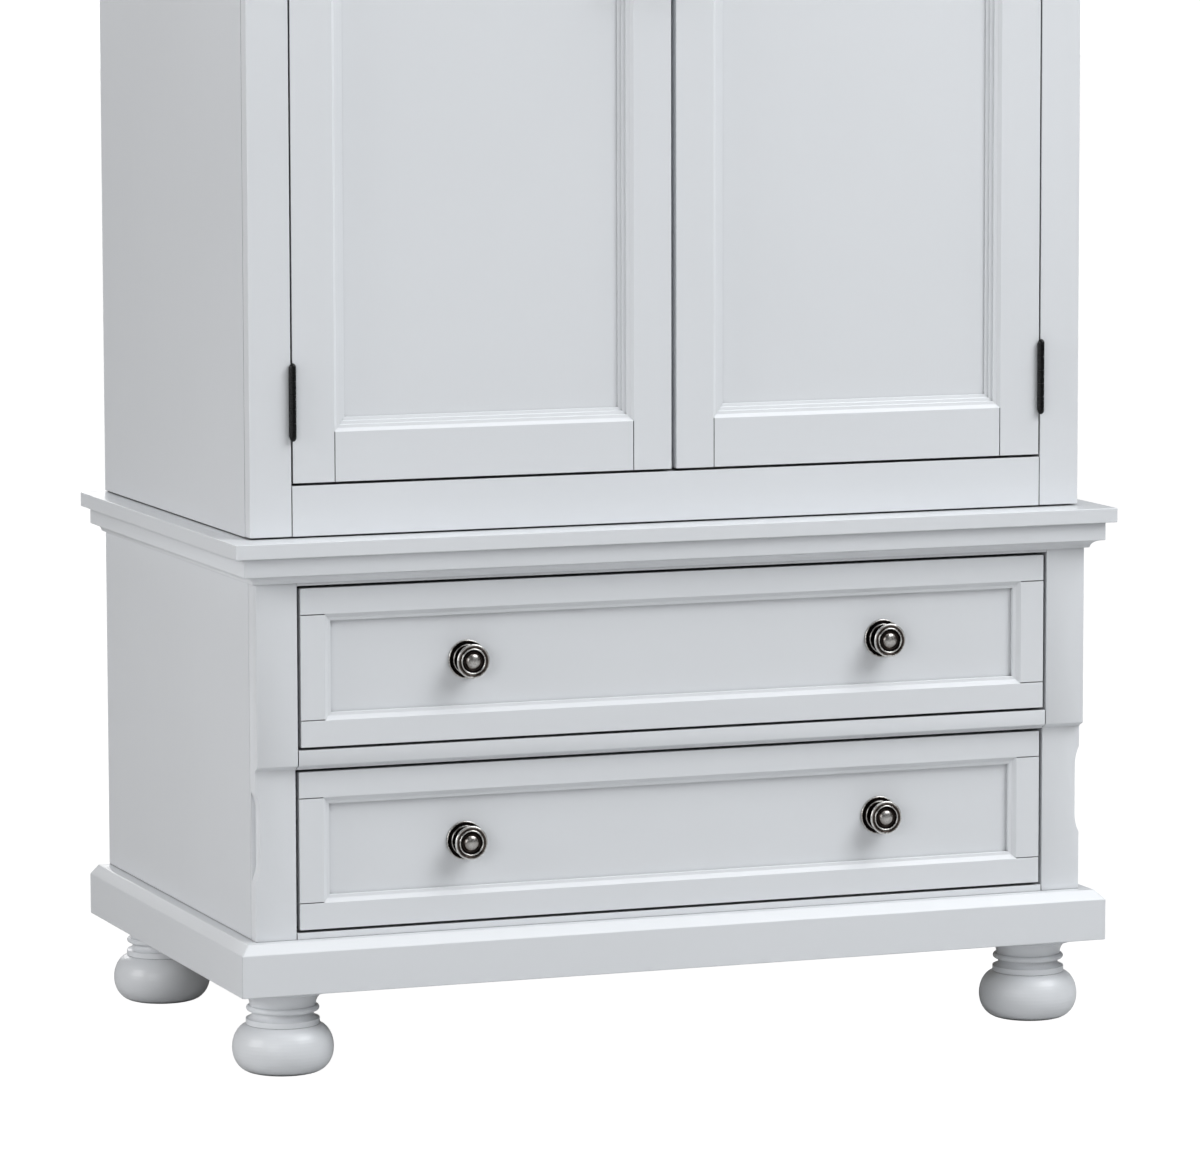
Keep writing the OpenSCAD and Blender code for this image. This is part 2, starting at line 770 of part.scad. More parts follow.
module drawer_box(z, face_y) {
    y = face_y + drawer_front_t;
    low = z + drawer_box_lift;
    high = low + drawer_box_h;
    inside = drawer_box_x - drawer_board_t;
    end_x = inside - HAIRLINE;
    color(INSIDE) difference() {
        union() {
            both_sides() block([inside, y, low], [drawer_box_x, y + drawer_box_d, high]);
            block([-end_x, y, low], [end_x, y + drawer_board_t, high]);
            block([-end_x, y + drawer_box_d - drawer_board_t, low], [end_x, y + drawer_box_d, high]);
        }
        drawer_bottom(z, face_y);
        drawer_screw_holes(z, face_y);
    }
}

// ---- Knobs ----

// Half section of the rose plate that lies against the wood
rose_outline = [
    [knob_screw_r + BOLT_CLEARANCE, 0], [rose_r, 0], [rose_r, rose_t / 2], [rose_step_r, rose_t / 2],
    [rose_step_r, rose_t], [knob_screw_r + BOLT_CLEARANCE, rose_t],
];

// Half section of the stem and the ringed head
knob_z = rose_t + HAIRLINE;
back_z = knob_rim_z - knob_rim_t;
stem_h = back_z - knob_back_h - knob_z;
knob_outline = concat(
    [[0, knob_z]],
    [for (i = [0 : ARC_STEPS]) let (t = i / ARC_STEPS)
        [knob_stem_r + (knob_flare_r - knob_stem_r) * (1 + cos(360 * t)) / 2, knob_z + stem_h * t]],
    [for (i = [1 : ARC_STEPS]) let (a = 90 * i / ARC_STEPS)
        [knob_flare_r + (knob_r - knob_flare_r) * sin(a), back_z - knob_back_h * cos(a)]],
    [for (i = [1 : ARC_STEPS]) let (a = 180 * i / ARC_STEPS)
        [knob_r + knob_rim_w / 2 * (cos(a) - 1), back_z + knob_rim_t * sin(a / 2)]],
    [[knob_ring_r + knob_ring_w / 2, knob_rim_z - knob_groove_d]],
    [for (i = [0 : ARC_STEPS]) let (a = 180 * i / ARC_STEPS)
        [knob_ring_r + knob_ring_w / 2 * cos(a), knob_rim_z - knob_ring_w / 2 * (1 - sin(a))]],
    [[knob_ring_r - knob_ring_w / 2, knob_rim_z - knob_recess_d]],
    [[knob_dome_r, knob_rim_z - knob_recess_d]],
    [for (i = [1 : ARC_STEPS]) let (a = 90 * i / ARC_STEPS)
        [knob_dome_r * cos(a), knob_rim_z - knob_recess_d + knob_dome_h * sin(a)]]
);

// Shank of a knob's screw, from inside the knob to the given depth behind the mounting face
module screw_shank(depth, clearance) {
    translate([0, 0, -depth])
        cylinder(r = knob_screw_r + clearance, h = depth + knob_rim_z / 2 + clearance);
}

// A knob on the point [x, y, z], with its rose plate and the screw that comes from behind
module knob(x, y, z, depth) {
    translate([x, y, z]) rotate([90, 0, 0]) {
        rotate_extrude() polygon(rose_outline);
        difference() {
            rotate_extrude() polygon(knob_outline);
            screw_shank(depth, BOLT_CLEARANCE);
        }
        screw_shank(depth, 0);
        translate([0, 0, -depth - knob_screw_r]) cylinder(r = 2 * knob_screw_r, h = knob_screw_r);
    }
}

module drawer_screw_holes(z, face_y) {
    for (x = [-drawer_knob_x, drawer_knob_x]) {
        translate([x, face_y, z + drawer_front_h / 2]) rotate([90, 0, 0])
            screw_shank(drawer_front_t + drawer_board_t + CUT, BOLT_CLEARANCE);
    }
}

module drawer_knobs(z, face_y) {
    color(NICKEL) for (x = [-drawer_knob_x, drawer_knob_x]) {
        knob(x, face_y + drawer_recess, z + drawer_front_h / 2,
             drawer_front_t + drawer_board_t - drawer_recess);
    }
}

module drawer_upper_rails() { drawer_rails(upper_drawer_z, block_y); }
module drawer_upper_stiles() { drawer_stiles(upper_drawer_z, block_y); }
module drawer_upper_panel() { drawer_panel(upper_drawer_z, block_y); }
module drawer_upper_box() { drawer_box(upper_drawer_z, block_y); }
module drawer_upper_bottom() { drawer_bottom(upper_drawer_z, block_y); }
module drawer_upper_knobs() { drawer_knobs(upper_drawer_z, block_y); }
module drawer_upper_slide_members() { drawer_slide_members(upper_drawer_z); }
module drawer_lower_rails() { drawer_rails(lower_drawer_z, chest_y); }
module drawer_lower_stiles() { drawer_stiles(lower_drawer_z, chest_y); }
module drawer_lower_panel() { drawer_panel(lower_drawer_z, chest_y); }
module drawer_lower_box() { drawer_box(lower_drawer_z, chest_y); }
module drawer_lower_bottom() { drawer_bottom(lower_drawer_z, chest_y); }
module drawer_lower_knobs() { drawer_knobs(lower_drawer_z, chest_y); }
module drawer_lower_slide_members() { drawer_slide_members(lower_drawer_z); }

// ---- Wardrobe case ----

module wardrobe_shelf_shape() {
    x = inner_x + shelf_housing;
    block([-x, shelf_y, shelf_z], [x, inner_back_y, shelf_z + board_t]);
}

module case_side() {
    color(WHITE) difference() {
        block([inner_x, case_side_y, case_z], [body_x, back_y, case_top_z]);
        side_shadow_line(case_side_y, case_z, case_top_z);
        block([body_x - shadow_d, case_side_y - CUT, case_z - CUT],
              [body_x + CUT, back_y + CUT, case_z + side_foot_shadow]);
        wardrobe_shelf_shape();
    }
}

module case_side_left() {
    mirror([1, 0, 0]) case_side();
}

module case_side_right() {
    case_side();
}

module case_back() {
    color(INSIDE) block([-inner_x, inner_back_y, case_z], [inner_x, back_y, case_top_z]);
}

module case_bottom() {
    color(INSIDE) block([-inner_x, case_side_y, case_opening_z - board_t],
                        [inner_x, inner_back_y, case_opening_z]);
}

module case_top() {
    color(INSIDE) block([-inner_x, case_side_y, case_top_z - board_t],
                        [inner_x, inner_back_y, case_top_z]);
}

module wardrobe_shelf() {
    color(INSIDE) wardrobe_shelf_shape();
}

module case_stiles() {
    color(WHITE) both_sides() difference() {
        block([case_opening_x, case_y, case_z + foot_shadow], [body_x, case_side_y, case_top_z]);
        for (z = HINGE_ZS) {
            block([case_opening_x - CUT, case_y - CUT, z - barrel_l / 2],
                  [case_opening_x + leaf_t, case_y + leaf_w, z + barrel_l / 2]);
        }
    }
}

module case_rail(low, high) {
    color(WHITE) difference() {
        block([-case_opening_x, case_y, low], [case_opening_x, case_side_y, high]);
        end_shadow_lines(case_opening_x, case_y, low, high - low);
    }
}

module case_bottom_rail() {
    case_rail(case_z + foot_shadow, case_opening_z);
}

module case_top_rail() {
    case_rail(case_opening_top, case_top_z);
}

module crown_moulding() {
    outline = cove_outline(crown_proj, crown_cove_run, crown_cove_h, crown_fascia_h);
    color(WHITE) wrapped_moulding(case_y, crown_z, crown_proj, outline, back_y);
}

module cornice_board() {
    out = crown_proj + cornice_overhang;
    color(WHITE) block([-body_x - out, case_y - out, case_top_z],
                       [body_x + out, back_y, case_top_z + cornice_t]);
}

module hanging_rod() {
    half = inner_x - socket_wall;
    color(STEEL) translate([-half, rod_y, rod_z]) rotate([0, 90, 0]) difference() {
        cylinder(r = rod_r, h = 2 * half);
        translate([0, 0, -CUT]) cylinder(r = rod_r - rod_wall, h = 2 * (half + CUT));
    }
}

module rod_sockets() {
    color(STEEL) both_sides() translate([inner_x, rod_y, rod_z]) rotate([0, -90, 0]) difference() {
        union() {
            cylinder(r = rod_r + socket_flange, h = socket_wall);
            cylinder(r = rod_r + socket_wall, h = socket_l);
        }
        translate([0, 0, socket_wall]) cylinder(r = rod_r + BOLT_CLEARANCE, h = socket_l);
    }
}

module door_catches() {
    y = door_back_y + CATCH_GAP;
    color(STEEL) both_sides() block([catch_x - catch_w / 2, y, case_opening_z],
                                    [catch_x + catch_w / 2, y + catch_s, case_opening_z + catch_s]);
}

// ---- Hinges ----

// The knuckles with these numbers, counted up from the barrel's lower end, each grown by extra at
// the ends that face another knuckle
module knuckles(numbers, radius, extra) {
    trim = knuckle_gap / 2 - extra;
    for (k = numbers) {
        low = k * knuckle_pitch + (k > 0 ? trim : 0);
        high = (k + 1) * knuckle_pitch - (k < KNUCKLES - 1 ? trim : 0);
        translate([0, 0, low]) cylinder(r = radius, h = high - low);
    }
}

// One leaf about a pin on the Z axis. Its plate lies from plate_x to plate_x + leaf_t.
module hinge_leaf(plate_x, own, other) {
    difference() {
        union() {
            block([plate_x, 0, 0], [plate_x + leaf_t, case_y + leaf_w - hinge_y, barrel_l]);
            knuckles(own, barrel_r, 0);
        }
        knuckles(other, barrel_r + knuckle_gap, knuckle_gap);
        translate([0, 0, -CUT]) cylinder(r = pin_r + pin_clearance, h = barrel_l + 2 * CUT);
    }
}

module at_right_hinges() {
    for (z = HINGE_ZS) {
        translate([hinge_x, hinge_y, z - barrel_l / 2]) children();
    }
}

module frame_hinge_leaves() {
    color(BLACK) both_sides() at_right_hinges() hinge_leaf(hinge_gap / 2, FRAME_KNUCKLES, DOOR_KNUCKLES);
}

module door_hinge_leaves() {
    color(BLACK) at_right_hinges() hinge_leaf(-hinge_gap / 2 - leaf_t, DOOR_KNUCKLES, FRAME_KNUCKLES);
}

pin_outline = concat(
    [for (i = [0 : ARC_STEPS]) let (a = 90 * i / ARC_STEPS) [barrel_r * sin(a), -tip_h * cos(a)]],
    [[pin_r, 0], [pin_r, barrel_l]],
    [for (i = [0 : ARC_STEPS]) let (a = 90 * i / ARC_STEPS) [barrel_r * cos(a), barrel_l + tip_h * sin(a)]]
);

module hinge_pins() {
    color(BLACK) both_sides() at_right_hinges() rotate_extrude() polygon(pin_outline);
}

// ---- Doors ----
// The right door is drawn, and the left one is its mirror image.

stile_joint_low = door_inner_x + meeting_stile_w;
stile_joint_high = door_outer_x - door_stile_w;

function door_member(width) =
    member_outline(width, door_t, door_bevel, door_step_run, step_fall, door_step_drop, door_steps);

module door_stile_pair() {
    translate([door_inner_x, case_y, door_z]) upright_member(door_member(meeting_stile_w), door_h);
    translate([door_outer_x, case_y, door_z]) mirror([1, 0, 0])
        upright_member(door_member(door_stile_w), door_h);
}

// Shadow lines where a door's rails meet its stiles, along the flat face only
module door_shadow_lines() {
    for (x = [stile_joint_low, stile_joint_high - shadow_w]) {
        for (low = [door_z - CUT, door_z + door_h - door_rail_h]) {
            block([x, case_y - CUT, low], [x + shadow_w, case_y + shadow_d, low + door_rail_h + CUT]);
        }
    }
}

module door_knob_place() {
    translate([door_inner_x + meeting_stile_w / 2, case_y, door_z + door_knob_z]) children();
}

module door_stiles() {
    color(WHITE) difference() {
        door_stile_pair();
        door_shadow_lines();
        for (z = HINGE_ZS) {
            block([door_outer_x - leaf_t, case_y - CUT, z - barrel_l / 2],
                  [door_outer_x + CUT, case_y + leaf_w, z + barrel_l / 2]);
        }
        door_knob_place() rotate([90, 0, 0]) screw_shank(door_t + CUT, BOLT_CLEARANCE);
    }
}

module door_rails() {
    color(WHITE) difference() {
        for (flip = [0, 1]) {
            translate([0, case_y, door_z + flip * door_h]) mirror([0, 0, flip])
                level_member(door_member(door_rail_h), stile_joint_low, stile_joint_high);
        }
        door_stile_pair();
        door_shadow_lines();
    }
}

module door_panel() {
    margin = door_sticking_w - groove_depth + PANEL_PLAY;
    up = door_rail_h + margin;
    y = case_y + door_recess;
    color(WHITE) block([stile_joint_low + margin, y, door_z + up],
                       [stile_joint_high - margin, y + panel_t, door_z + door_h - up]);
}

module door_knob() {
    color(NICKEL) door_knob_place() knob(0, 0, 0, door_t);
}

module door_right_stiles() { door_stiles(); }
module door_right_rails() { door_rails(); }
module door_right_panel() { door_panel(); }
module door_right_hinge_leaves() { door_hinge_leaves(); }
module door_right_knob() { door_knob(); }
module door_left_stiles() { mirror([1, 0, 0]) door_stiles(); }
module door_left_rails() { mirror([1, 0, 0]) door_rails(); }
module door_left_panel() { mirror([1, 0, 0]) door_panel(); }
module door_left_hinge_leaves() { mirror([1, 0, 0]) door_hinge_leaves(); }
module door_left_knob() { mirror([1, 0, 0]) door_knob(); }

bun_feet();
foot_bolts();
foot_blocks();
plinth_front();
plinth_sides();
plinth_back();
chest_side_left();
chest_side_right();
chest_back();
chest_bottom();
pilaster_left();
pilaster_right();
pilaster_blocks();
chest_top_rail();
chest_mid_rail();
chest_bottom_rail();
chest_moulding();
chest_top();
slide_packers();
slide_cabinet_members();
case_side_left();
case_side_right();
case_back();
case_bottom();
case_top();
case_stiles();
case_bottom_rail();
case_top_rail();
crown_moulding();
cornice_board();
wardrobe_shelf();
hanging_rod();
rod_sockets();
frame_hinge_leaves();
hinge_pins();
door_catches();
door_left_stiles();
door_left_rails();
door_left_panel();
door_left_hinge_leaves();
door_left_knob();
door_right_stiles();
door_right_rails();
door_right_panel();
door_right_hinge_leaves();
door_right_knob();
drawer_upper_rails();
drawer_upper_stiles();
drawer_upper_panel();
drawer_upper_box();
drawer_upper_bottom();
drawer_upper_knobs();
drawer_upper_slide_members();
drawer_lower_rails();
drawer_lower_stiles();
drawer_lower_panel();
drawer_lower_box();
drawer_lower_bottom();
drawer_lower_knobs();
drawer_lower_slide_members();
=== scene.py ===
"""Looks of a white two-piece armoire: lacquered wood, pewter knobs and black hinge barrels.

Everything is in metres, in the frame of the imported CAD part: +Z up, front towards -Y.
"""

import json
import math

import bmesh
import bpy
from mathutils import Matrix, Vector


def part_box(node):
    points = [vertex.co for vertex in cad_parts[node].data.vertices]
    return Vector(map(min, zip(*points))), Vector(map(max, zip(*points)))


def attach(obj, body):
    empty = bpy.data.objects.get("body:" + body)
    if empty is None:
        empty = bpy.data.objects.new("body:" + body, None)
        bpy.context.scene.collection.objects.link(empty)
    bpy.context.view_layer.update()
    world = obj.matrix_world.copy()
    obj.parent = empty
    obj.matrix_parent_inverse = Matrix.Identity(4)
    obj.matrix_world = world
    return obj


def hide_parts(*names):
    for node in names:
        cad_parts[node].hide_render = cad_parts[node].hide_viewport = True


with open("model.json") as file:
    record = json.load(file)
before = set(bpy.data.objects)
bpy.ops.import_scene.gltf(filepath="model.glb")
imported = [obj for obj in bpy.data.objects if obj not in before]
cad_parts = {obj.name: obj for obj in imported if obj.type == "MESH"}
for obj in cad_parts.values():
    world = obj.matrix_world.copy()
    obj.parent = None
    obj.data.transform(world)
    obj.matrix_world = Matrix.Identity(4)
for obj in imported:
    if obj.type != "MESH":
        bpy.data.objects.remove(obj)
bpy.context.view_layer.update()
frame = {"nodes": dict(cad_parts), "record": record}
NODES = frame["nodes"]
MM = 0.001


# ---- Camera ----------------------------------------------------------------------------------

# A long lens looks at the lower two thirds of the armoire, from the front and a little to the left
CAMERA_AT = (-2.4234, -6.4784, 1.2939)
CAMERA_HEADING = 20.5835
CAMERA_DIP = 6.6362
CAMERA_ROLL = -0.1322
CAMERA_LENS = 186.605
SENSOR = 36.0
CAMERA_FAR = 60.0


def make_camera():
    data = bpy.data.cameras.new("camera")
    data.lens = CAMERA_LENS
    data.sensor_width = SENSOR
    data.clip_end = CAMERA_FAR
    camera = bpy.data.objects.new("camera", data)
    bpy.context.scene.collection.objects.link(camera)
    camera.location = CAMERA_AT
    turn = Matrix.Rotation(math.radians(-CAMERA_HEADING), 4, "Z")
    tilt = Matrix.Rotation(math.radians(90 - CAMERA_DIP), 4, "X")
    roll = Matrix.Rotation(math.radians(CAMERA_ROLL), 4, "Z")
    camera.rotation_euler = (turn @ tilt @ roll).to_euler()
    bpy.context.scene.camera = camera


# ---- Material nodes --------------------------------------------------------------------------

# Most of a noise's values lie between these two
NOISE_LOW = 0.3
NOISE_HIGH = 0.7
# Painted shade: the base colour darkens in joints and gaps narrower than the reach, where little light gets
# in. Each tone goes with a share of open space over a point.
GAP_SHADE_SAMPLES = 6
GAP_SHADE_REACH = 0.006
GAP_SHADE_TONES = [(0.1, (0.1, 0.1, 0.1)), (0.4, (0.8, 0.8, 0.8)), (0.75, (1.0, 1.0, 1.0))]


class Shader:
    """A Principled material that is built up node by node."""

    def __init__(self, name, **sockets):
        self.material = bpy.data.materials.new(name)
        self.material.use_nodes = True
        self.tree = self.material.node_tree
        self.principled = self.tree.nodes["Principled BSDF"]
        for socket, value in sockets.items():
            self.principled.inputs[socket.replace("_", " ")].default_value = value

    def node(self, kind, **values):
        made = self.tree.nodes.new(kind)
        for key, value in values.items():
            if key in made.inputs:
                made.inputs[key].default_value = value
            else:
                setattr(made, key, value)
        return made

    def link(self, source, target):
        self.tree.links.new(source, target)

    def place(self, scale=(1, 1, 1)):
        """Object coordinates, stretched."""
        coordinates = self.node("ShaderNodeTexCoord")
        mapping = self.node("ShaderNodeMapping")
        mapping.inputs["Scale"].default_value = scale
        self.link(coordinates.outputs["Object"], mapping.inputs["Vector"])
        return mapping.outputs["Vector"]

    def noise(self, vector, scale, detail=3.0, roughness=0.5):
        made = self.node("ShaderNodeTexNoise", Scale=scale, Detail=detail, Roughness=roughness)
        self.link(vector, made.inputs["Vector"])
        return made.outputs["Fac"]

    def ramp(self, value, stops):
        """Colour ramp over [(place, colour), ...]."""
        made = self.node("ShaderNodeValToRGB")
        elements = made.color_ramp.elements
        while len(elements) < len(stops):
            elements.new(0.5)
        for element, (at, colour) in zip(elements, stops):
            element.position = at
            element.color = (*colour, 1.0)
        self.link(value, made.inputs["Fac"])
        return made.outputs["Color"]

    def spread(self, value, low, high):
        """Maps a noise onto a range."""
        made = self.node("ShaderNodeMapRange")
        made.inputs["From Min"].default_value = NOISE_LOW
        made.inputs["From Max"].default_value = NOISE_HIGH
        made.inputs["To Min"].default_value = low
        made.inputs["To Max"].default_value = high
        self.link(value, made.inputs["Value"])
        return made.outputs["Result"]

    def bump(self, height, strength, distance, below=None):
        made = self.node("ShaderNodeBump", Strength=strength, Distance=distance)
        self.link(height, made.inputs["Height"])
        if below is not None:
            self.link(below, made.inputs["Normal"])
        return made.outputs["Normal"]

    def shade_painted_in_gaps(self, colour):
        """Paints shade into a colour: joints and running gaps darken with their ambient occlusion, the less
        open space over a point the darker.
        """
        hollow = self.node("ShaderNodeAmbientOcclusion", samples=GAP_SHADE_SAMPLES, Distance=GAP_SHADE_REACH)
        mix = self.node("ShaderNodeMix", data_type="RGBA", blend_type="MULTIPLY")
        mix.inputs["Factor"].default_value = 1.0
        self.link(colour, mix.inputs["A"])
        self.link(self.ramp(hollow.outputs["AO"], GAP_SHADE_TONES), mix.inputs["B"])
        return mix.outputs["Result"]

    def drive(self, **sockets):
        for socket, source in sockets.items():
            self.link(source, self.principled.inputs[socket.replace("_", " ")])


def grey(value):
    return (value, value, value)


# A white that leans a little to blue, and its darker clouds
WHITE_TONE = 0.80
WHITE_TINT = (0.98, 1.0, 1.03)
CLOUD_SHARE = 0.975
LACQUER_ROUGHNESS = 0.34
PORE_BUMP = 0.0875
PEEL_BUMP = 0.06


def lacquer(name, along):
    """White satin lacquer, with a soft orange peel. The wood's pores show very faintly through it."""
    shader = Shader(name, Roughness=LACQUER_ROUGHNESS, Specular_IOR_Level=0.5,
                    Coat_Weight=0.18, Coat_Roughness=0.16)
    stretch = [60.0, 60.0, 60.0]
    stretch["XYZ".index(along)] = 2.5
    place = shader.place()
    cloud = shader.noise(place, 2.3, 2.0)
    pores = shader.noise(shader.place(stretch), 6.0, 4.0, 0.6)
    peel = shader.noise(place, 320.0, 2.0)
    light = tuple(WHITE_TONE * share for share in WHITE_TINT)
    dark = tuple(CLOUD_SHARE * c for c in light)
    # The base colour carries painted shade in joints and gaps.
    shader.drive(Base_Color=shader.shade_painted_in_gaps(shader.ramp(cloud, [(0.3, dark), (0.7, light)])),
                 Roughness=shader.spread(pores, LACQUER_ROUGHNESS - 0.03, LACQUER_ROUGHNESS + 0.05),
                 Normal=shader.bump(pores, PORE_BUMP, 0.0004,
                                    shader.bump(peel, PEEL_BUMP, 0.0004)))
    return shader.material


def interior(name, along):
    """Thinner, flatter paint on the back panels, shelf and drawer boxes, with the ply's grain in it."""
    shader = Shader(name, Roughness=0.6, Specular_IOR_Level=0.4)
    stretch = [40.0, 40.0, 40.0]
    stretch["XYZ".index(along)] = 1.5
    figure = shader.noise(shader.place(stretch), 3.0, 5.0, 0.6)
    cloud = shader.noise(shader.place(), 3.0, 3.0)
    mix = shader.node("ShaderNodeMix", data_type="RGBA", blend_type="MULTIPLY")
    mix.inputs["Factor"].default_value = 0.6
    ply = shader.ramp(figure, [(0.35, (0.70, 0.69, 0.66)), (0.65, (0.76, 0.75, 0.73))])
    thin_spots = shader.ramp(cloud, [(0.3, (0.94, 0.94, 0.93)), (0.7, (1.0, 1.0, 1.0))])
    shader.link(ply, mix.inputs["A"])
    shader.link(thin_spots, mix.inputs["B"])
    shader.drive(Base_Color=mix.outputs["Result"],
                 Roughness=shader.spread(figure, 0.52, 0.66),
                 Normal=shader.bump(figure, 0.18, 0.0005))
    return shader.material


def bare_wood(name):
    """Unpainted softwood with growth rings."""
    shader = Shader(name, Roughness=0.62, Specular_IOR_Level=0.35)
    place = shader.place((1.0, 0.12, 1.0))
    bend = shader.noise(place, 9.0, 2.0)
    wave = shader.node("ShaderNodeTexWave", wave_type="RINGS", Scale=42.0, Distortion=4.0, Detail=3.0)
    shader.link(place, wave.inputs["Vector"])
    fibre = shader.noise(shader.place((400.0, 6.0, 400.0)), 1.0, 2.0)
    colour = shader.ramp(wave.outputs["Fac"], [(0.0, (0.56, 0.38, 0.20)), (0.35, (0.66, 0.49, 0.29)),
                                               (1.0, (0.74, 0.58, 0.38))])
    shader.drive(Base_Color=colour, Roughness=shader.spread(bend, 0.55, 0.7),
                 Normal=shader.bump(fibre, 0.3, 0.0004))
    return shader.material


def pewter(name):
    """Antique pewter. The polish attribute is 1 on the rubbed ridges and 0 in the blackened grooves."""
    shader = Shader(name, Metallic=1.0)
    place = shader.place()
    patches = shader.noise(place, 220.0, 5.0, 0.65)
    polish = shader.node("ShaderNodeAttribute", attribute_name="polish")
    worn = shader.ramp(polish.outputs["Fac"], [(0.0, (0.006, 0.005, 0.005)), (0.3, (0.045, 0.036, 0.032)),
                                              (0.6, (0.17, 0.145, 0.13)), (1.0, (0.86, 0.85, 0.83))])
    mix = shader.node("ShaderNodeMix", data_type="RGBA", blend_type="MULTIPLY")
    mix.inputs["Factor"].default_value = 0.7
    shader.link(worn, mix.inputs["A"])
    shader.link(shader.ramp(patches, [(0.3, (0.62, 0.58, 0.55)), (0.65, (1.0, 1.0, 1.0))]), mix.inputs["B"])
    scratches = shader.noise(place, 1500.0, 2.0)
    shader.drive(Base_Color=mix.outputs["Result"], Roughness=shader.spread(patches, 0.16, 0.34),
                 Normal=shader.bump(scratches, 0.08, 0.0002))
    return shader.material


def metal(name, colour, roughness):
    """Plain metal with fine rolling marks."""
    shader = Shader(name, Metallic=1.0, Roughness=roughness)
    marks = shader.noise(shader.place((1.0, 0.05, 1.0)), 500.0, 2.0)
    dark = tuple(0.86 * c for c in colour)
    shader.drive(Base_Color=shader.ramp(marks, [(0.3, dark), (0.7, colour)]),
                 Roughness=shader.spread(marks, roughness * 0.8, roughness * 1.25),
                 Normal=shader.bump(marks, 0.05, 0.0002))
    return shader.material


def black_paint(name):
    """Black satin paint on steel."""
    shader = Shader(name, Specular_IOR_Level=0.25)
    grain = shader.noise(shader.place(), 700.0, 2.0)
    colour = shader.ramp(grain, [(0.3, (0.0015, 0.0015, 0.0018)), (0.7, (0.005, 0.005, 0.0055))])
    shader.drive(Base_Color=colour, Roughness=shader.spread(grain, 0.24, 0.34),
                 Normal=shader.bump(grain, 0.06, 0.0002))
    return shader.material


def moulded_plastic(name):
    """Off-white moulded plastic with a fine matt texture."""
    shader = Shader(name, Roughness=0.5)
    grain = shader.noise(shader.place(), 900.0, 2.0)
    shader.drive(Base_Color=shader.ramp(grain, [(0.3, (0.66, 0.65, 0.61)), (0.7, (0.72, 0.71, 0.67))]),
                 Normal=shader.bump(grain, 0.12, 0.0002))
    return shader.material


LACQUER_UP = lacquer("lacquer_grain_up", "Z")
LACQUER_ACROSS = lacquer("lacquer_grain_across", "X")
LACQUER_DEEP = lacquer("lacquer_grain_front_to_back", "Y")
INSIDE_UP = interior("inside_grain_up", "Z")
INSIDE_ACROSS = interior("inside_grain_across", "X")
BARE_WOOD = bare_wood("bare_softwood")
PEWTER = pewter("antique_pewter")
BLACK = black_paint("black_satin_paint")
ZINC = metal("zinc_plated_steel", (0.60, 0.61, 0.63), 0.38)
CHROME = metal("chrome", (0.82, 0.82, 0.83), 0.08)
PLASTIC = moulded_plastic("catch_plastic")

BY_SLOT = {"bare_wood": BARE_WOOD, "pewter": PEWTER, "black_steel": BLACK, "zinc_steel": ZINC,
           "rod_chrome": CHROME, "catch_plastic": PLASTIC}
GRAIN_ACROSS = ("rail", "moulding", "chest_top", "cornice", "plinth_front", "plinth_back", "drawer")
GRAIN_DEEP = ("plinth_sides",)


def material_for(node, slot):
    """The material of a CAD node, with the grain along its boards."""
    if slot in BY_SLOT:
        return BY_SLOT[slot]
    across = any(word in node for word in GRAIN_ACROSS)
    if slot == "interior_lacquer":
        return INSIDE_UP if node in ("chest_back", "case_back") else INSIDE_ACROSS
    if node in GRAIN_DEEP:
        return LACQUER_DEEP
    return LACQUER_ACROSS if across and not node.endswith("stiles") else LACQUER_UP


# ---- CAD nodes -------------------------------------------------------------------------------

EDGE_RADIUS = {"white_lacquer": 0.9 * MM, "interior_lacquer": 0.6 * MM, "bare_wood": 0.6 * MM,
               "catch_plastic": 0.6 * MM, "zinc_steel": 0.2 * MM}
WELD_DISTANCE = 0.005 * MM
FLAT_ANGLE = math.radians(0.3)
EDGE_ANGLE = math.radians(28)
# Thin panels whose edges all lie in grooves, and pieces that are round all over
UNEASED = ("panel", "feet", "bolts", "rod")
# Pieces with coves, ogees or scallops, which are shaded smoothly
CURVED = ("moulding", "pilaster", "mid_rail")
EASED_STEPS = 3
SIDES = ((-1, "left"), (1, "right"))


def soften(piece, radius, curved):
    """Eases the piece's sharp edges, as sanding does before lacquer."""
    for polygon in piece.data.polygons:
        polygon.use_smooth = curved or radius == 0
    if radius == 0:
        return
    weld = piece.modifiers.new("weld", "WELD")
    weld.merge_threshold = WELD_DISTANCE
    flatten = piece.modifiers.new("whole_faces", "DECIMATE")
    flatten.decimate_type = "DISSOLVE"
    flatten.angle_limit = FLAT_ANGLE
    bevel = piece.modifiers.new("eased_edges", "BEVEL")
    bevel.width = radius
    bevel.segments = EASED_STEPS
    bevel.limit_method = "ANGLE"
    bevel.angle_limit = EDGE_ANGLE
    bevel.harden_normals = curved


def dress_cad_nodes():
    slots = {part["node"]: part["material_slot"] for part in frame["record"]["subparts"]}
    for name, piece in NODES.items():
        slot = slots[name]
        piece.data.materials.clear()
        piece.data.materials.append(material_for(name, slot))
        eased = not any(word in name for word in UNEASED)
        curved = any(word in name for word in CURVED)
        soften(piece, EDGE_RADIUS.get(slot, 0.0) if eased else 0.0, curved)


# ---- Turned knobs ----------------------------------------------------------------------------

TURN_STEPS = 96
ARC_POINTS = 7
BEAD_POINTS = 9


def arc(middle, radius, start, end, polish, points=ARC_POINTS):
    """Points of an arc in a half section: middle is (distance out, height), angles in degrees."""
    made = []
    for index in range(points):
        angle = math.radians(start + (end - start) * index / (points - 1))
        made.append((middle[0] + radius * math.cos(angle), middle[1] + radius * math.sin(angle), polish))
    return made


